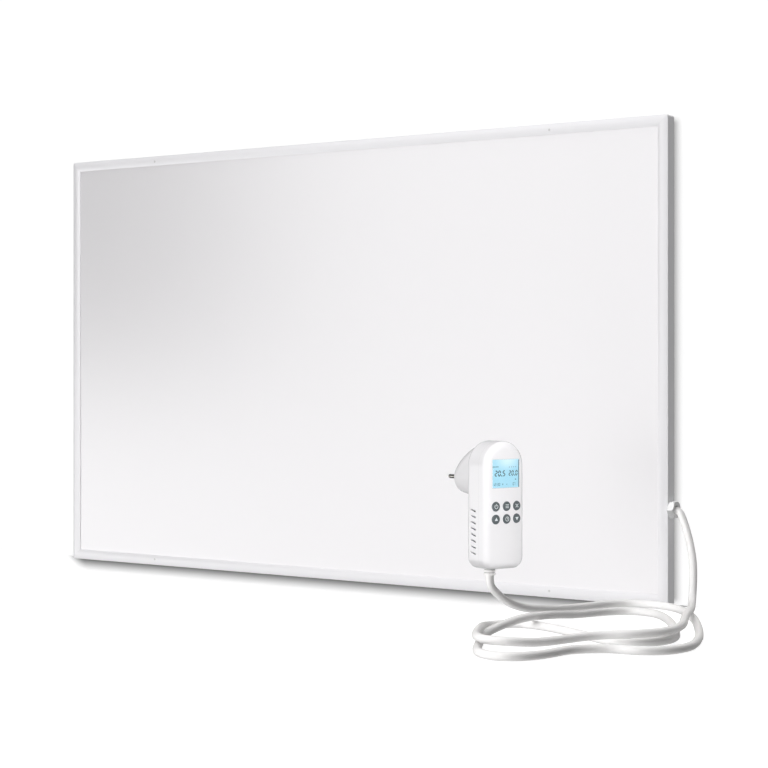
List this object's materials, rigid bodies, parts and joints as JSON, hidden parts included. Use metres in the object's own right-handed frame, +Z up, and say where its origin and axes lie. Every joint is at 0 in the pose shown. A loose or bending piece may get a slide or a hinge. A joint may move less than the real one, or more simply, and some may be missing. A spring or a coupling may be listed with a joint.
{
  "type": "infrared panel heater",
  "caption": "Flat white rectangular radiant panel in a rounded border, hung by rear keyholes, with a mains cord to a plug-in thermostat that has a display and keys.",
  "frame": {"origin": "on the wall plane, midway between the four keyholes that the panel hangs by", "axes": "+X to the right as seen from the front, along the panel's long side; +Y into the wall; +Z up"},
  "size_m": [1.1822, 0.501, 0.6],
  "materials": {
    "border_white": "satin powder coat",
    "plate_white": "fine satin powder coat",
    "cover_white": "satin powder coat",
    "zinc_steel": "zinc plated",
    "key_casting": "as cast",
    "carbon_film": "matt printed film",
    "copper": "bare copper",
    "foil": "bright foil",
    "mineral_board": "pressed fibre",
    "gland_grey": "moulded nylon",
    "cord_grey": "satin PVC",
    "terminal_cream": "unglazed steatite",
    "bakelite": "moulded phenolic",
    "wire_brown": "PVC",
    "wire_blue": "PVC",
    "wire_green_yellow": "PVC, striped",
    "housing_white": "fine gloss",
    "window_clear": "clear",
    "display_blue": "backlit",
    "key_grey": "soft-touch",
    "switch_black": "moulded",
    "board_green": "solder resist",
    "relay_blue": "moulded",
    "transformer_black": "potted",
    "can_sleeve": "shrink sleeve",
    "insert_grey": "moulded",
    "nickel": "nickel plated brass"
  },
  "bodies": {
    "heater": {"frame_top": "border_white", "frame_bottom": "border_white", "frame_left": "border_white", "frame_right": "border_white", "corner_keys": "key_casting", "front_plate": "plate_white", "plate_rivets": "zinc_steel", "heating_film": "carbon_film", "bus_bars": "copper", "reflector_foil": "foil", "insulation_board": "mineral_board", "rear_cover": "cover_white", "cover_screws": "zinc_steel", "hanger_lower_left": "zinc_steel", "hanger_upper_left": "zinc_steel", "hanger_lower_right": "zinc_steel", "hanger_upper_right": "zinc_steel", "bracket_rivets": "zinc_steel", "gland_body": "gland_grey", "gland_cap": "gland_grey", "gland_locknut": "gland_grey", "cord_inlet": "cord_grey", "terminal_block": "terminal_cream", "terminal_screws": "zinc_steel", "thermal_cutout": "bakelite", "earth_stud": "zinc_steel", "wire_live": "wire_brown", "wire_neutral": "wire_blue", "wire_earth": "wire_green_yellow", "lead_live": "wire_brown", "lead_return": "wire_blue", "power_cord": "cord_grey", "housing_front": "housing_white", "housing_rear": "housing_white", "housing_screws": "zinc_steel", "display_window": "window_clear", "lcd_module": "display_blue", "key_switches": "switch_black", "circuit_board": "board_green", "relay": "relay_blue", "transformer": "transformer_black", "terminal_pair": "bakelite", "capacitor": "can_sleeve", "fuse": "window_clear", "room_sensor": "bakelite", "plug_insert": "insert_grey", "plug_pins": "nickel", "earth_clips": "nickel", "cord_grip": "cord_grey", "cord_outlet": "cord_grey"},
    "key_power": {"key_power": "key_grey"},
    "key_menu": {"key_menu": "key_grey"},
    "key_cancel": {"key_cancel": "key_grey"},
    "key_up": {"key_up": "key_grey"},
    "key_clock": {"key_clock": "key_grey"},
    "key_down": {"key_down": "key_grey"}
  },
  "joints": [
    {"name": "key_power_press", "type": "slide", "parent": "heater", "child": "key_power", "axis": [-0.9483, 0.3173, 0], "range_m": [0, 0.0008], "stiffness_N_per_m": 800},
    {"name": "key_menu_press", "type": "slide", "parent": "heater", "child": "key_menu", "axis": [-0.9483, 0.3173, 0], "range_m": [0, 0.0008], "stiffness_N_per_m": 800},
    {"name": "key_cancel_press", "type": "slide", "parent": "heater", "child": "key_cancel", "axis": [-0.9483, 0.3173, 0], "range_m": [0, 0.0008], "stiffness_N_per_m": 800},
    {"name": "key_up_press", "type": "slide", "parent": "heater", "child": "key_up", "axis": [-0.9483, 0.3173, 0], "range_m": [0, 0.0008], "stiffness_N_per_m": 800},
    {"name": "key_clock_press", "type": "slide", "parent": "heater", "child": "key_clock", "axis": [-0.9483, 0.3173, 0], "range_m": [0, 0.0008], "stiffness_N_per_m": 800},
    {"name": "key_down_press", "type": "slide", "parent": "heater", "child": "key_down", "axis": [-0.9483, 0.3173, 0], "range_m": [0, 0.0008], "stiffness_N_per_m": 800}
  ]
}
